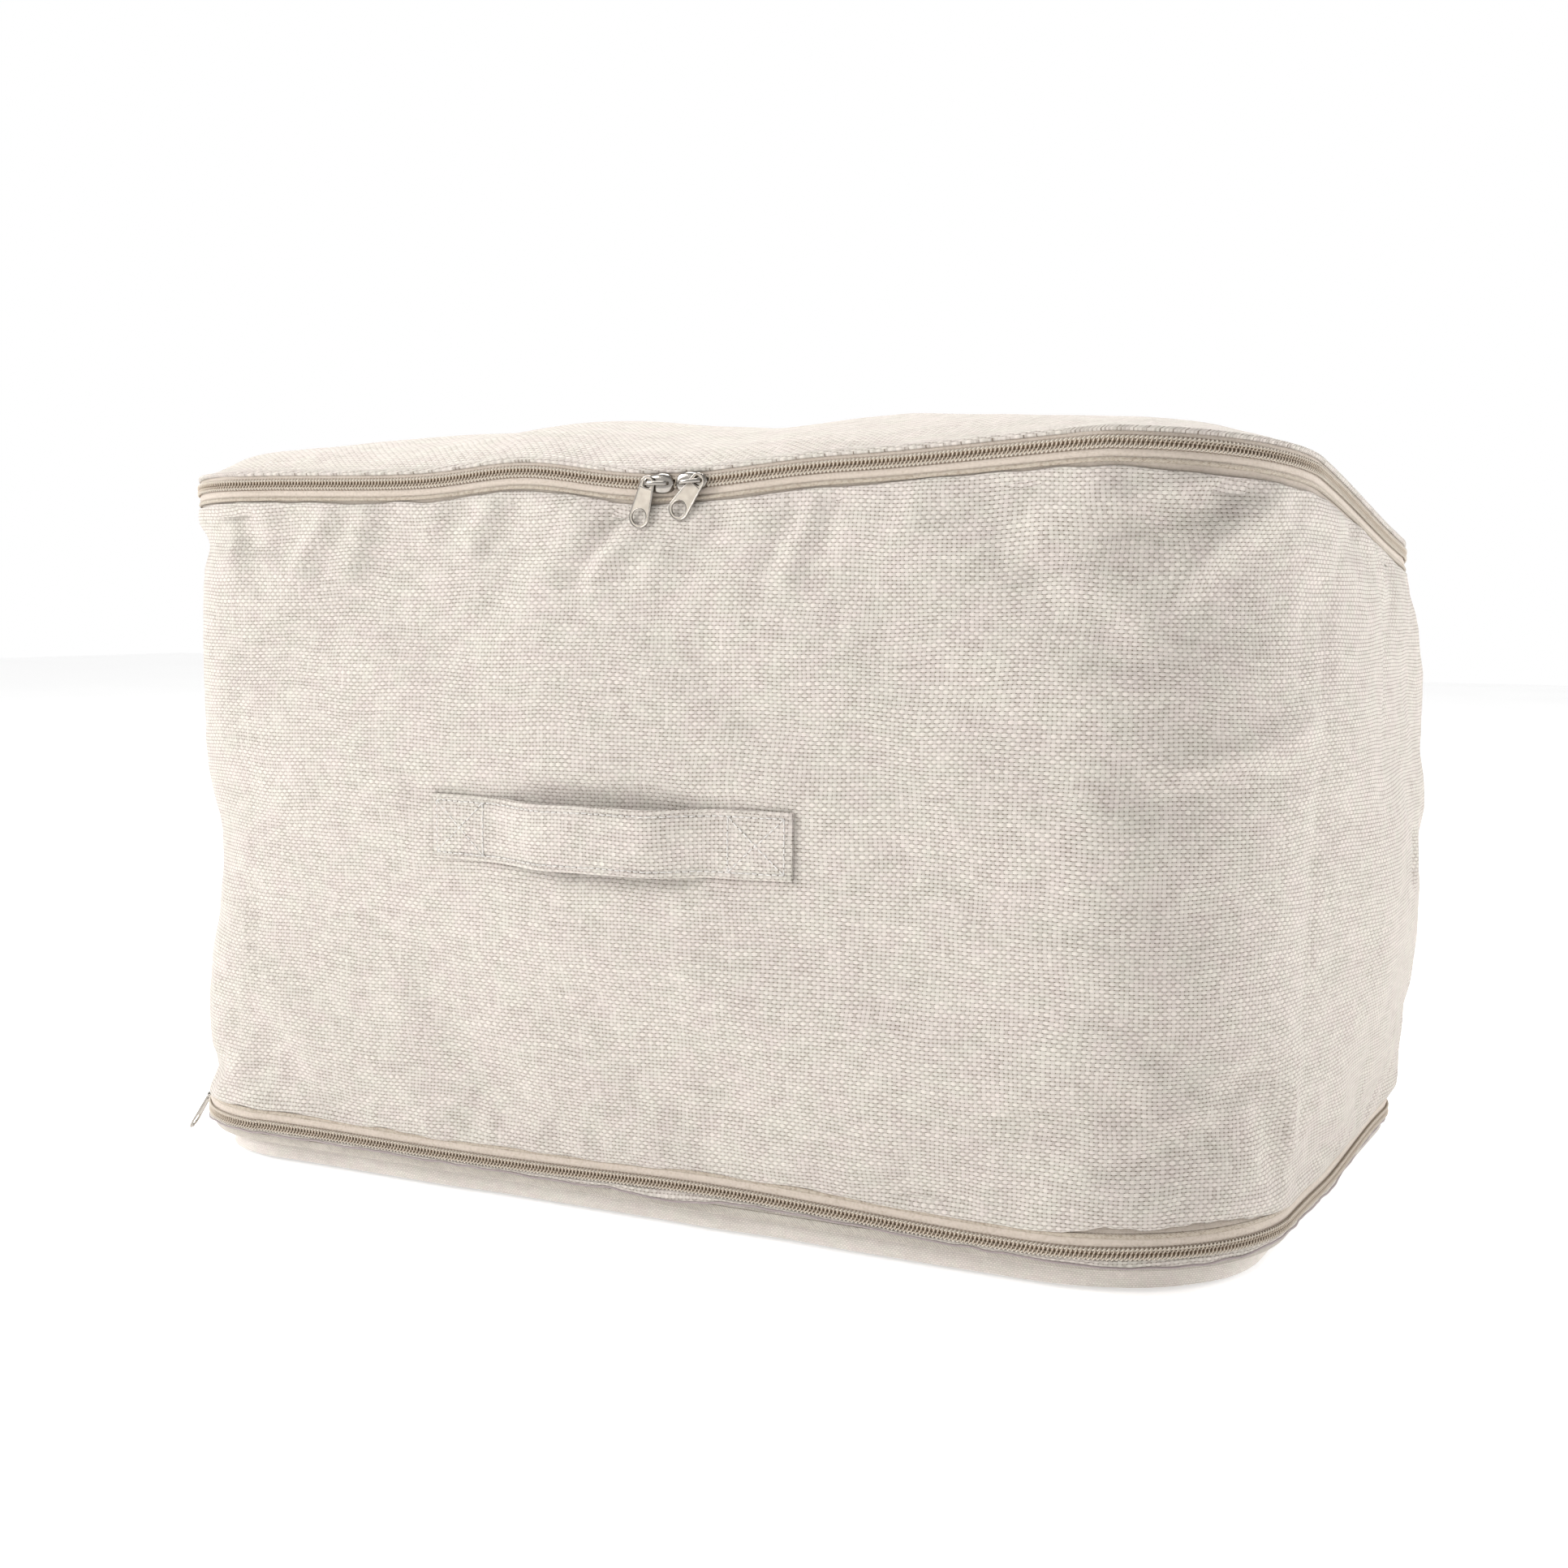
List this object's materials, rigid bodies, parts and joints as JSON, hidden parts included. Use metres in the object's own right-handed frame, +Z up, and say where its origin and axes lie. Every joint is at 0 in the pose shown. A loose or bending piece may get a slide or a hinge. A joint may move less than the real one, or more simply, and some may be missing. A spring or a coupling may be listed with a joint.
{
  "type": "zipped fabric storage bag",
  "caption": "Soft rectangular storage bag with a zipped fold-back lid, a zipped expanding base, a flat strap handle and metal air eyelets.",
  "frame": {"origin": "middle of the flat resting face of the base", "axes": "+X along the length, +Y from the handle side to the back, +Z up"},
  "size_m": [0.6362, 0.4294, 0.3939],
  "materials": {
    "wall_cloth": "plain weave, matt natural white",
    "zip_tape": "fine ribbed tape, beige",
    "zip_coil": "satin nylon coil, cream",
    "binding_tape": "soft woven tape",
    "nickel": "polished nickel plate"
  },
  "bodies": {
    "base": {"base_panel": "wall_cloth", "bottom_zip_tape_base": "zip_tape", "bottom_zip_coil_base": "zip_coil", "base_binding": "binding_tape", "expansion_gusset": "wall_cloth"},
    "walls": {"wall_wrap": "wall_cloth", "back_wall": "wall_cloth", "corner_seam_bindings": "binding_tape", "bottom_zip_coil_wall": "zip_coil", "bottom_zip_tape_wall": "zip_tape", "wall_bottom_binding": "binding_tape", "top_zip_tape_wall": "zip_tape", "top_zip_coil_wall": "zip_coil", "wall_top_binding": "binding_tape", "hinge_binding": "binding_tape", "front_handle": "wall_cloth", "eyelet_flange": "nickel", "eyelet_washer": "nickel"},
    "lid": {"lid_panel": "wall_cloth", "top_zip_tape_lid": "zip_tape", "top_zip_coil_lid": "zip_coil", "lid_binding": "binding_tape"},
    "left_slider_body": {"left_slider": "nickel"},
    "right_slider_body": {"right_slider": "nickel"},
    "bottom_slider_body": {"bottom_slider": "nickel"},
    "left_tab_body": {"left_pull_tab": "nickel"},
    "right_tab_body": {"right_pull_tab": "nickel"},
    "bottom_tab_body": {"bottom_pull_tab": "nickel"}
  },
  "joints": [
    {"name": "base_expansion", "type": "slide", "parent": "base", "child": "walls", "axis": [0, 0, 1], "range_m": [0, 0.05]},
    {"name": "lid_hinge", "type": "hinge", "parent": "walls", "child": "lid", "pos_m": [0, 0.193, 0.3212], "axis": [-1, 0, 0], "range_deg": [0, 215]},
    {"name": "left_slider_travel", "type": "slide", "parent": "walls", "child": "left_slider_body", "axis": [-0.9998, 0, 0.0178], "range_m": [0, 0.225]},
    {"name": "right_slider_travel", "type": "slide", "parent": "walls", "child": "right_slider_body", "axis": [0.9975, 0, 0.0701], "range_m": [0, 0.16]},
    {"name": "bottom_slider_travel", "type": "hinge", "parent": "base", "child": "bottom_slider_body", "pos_m": [-0.229, -0.128, 0.022], "axis": [0, 0, 1], "range_deg": [0, 66]},
    {"name": "left_tab_swing", "type": "hinge", "parent": "left_slider_body", "child": "left_tab_body", "pos_m": [0.0089, -0.194, 0.35871], "axis": [0, 1, 0], "range_deg": [-20, 75]},
    {"name": "right_tab_swing", "type": "hinge", "parent": "right_slider_body", "child": "right_tab_body", "pos_m": [0.03609, -0.194, 0.35946], "axis": [0, -1, 0], "range_deg": [-5, 125]},
    {"name": "bottom_tab_fold", "type": "hinge", "parent": "bottom_slider_body", "child": "bottom_tab_body", "pos_m": [-0.30104, -0.15711, 0.022], "axis": [-0.3746, 0.9272, 0], "range_deg": [0, 130]}
  ]
}
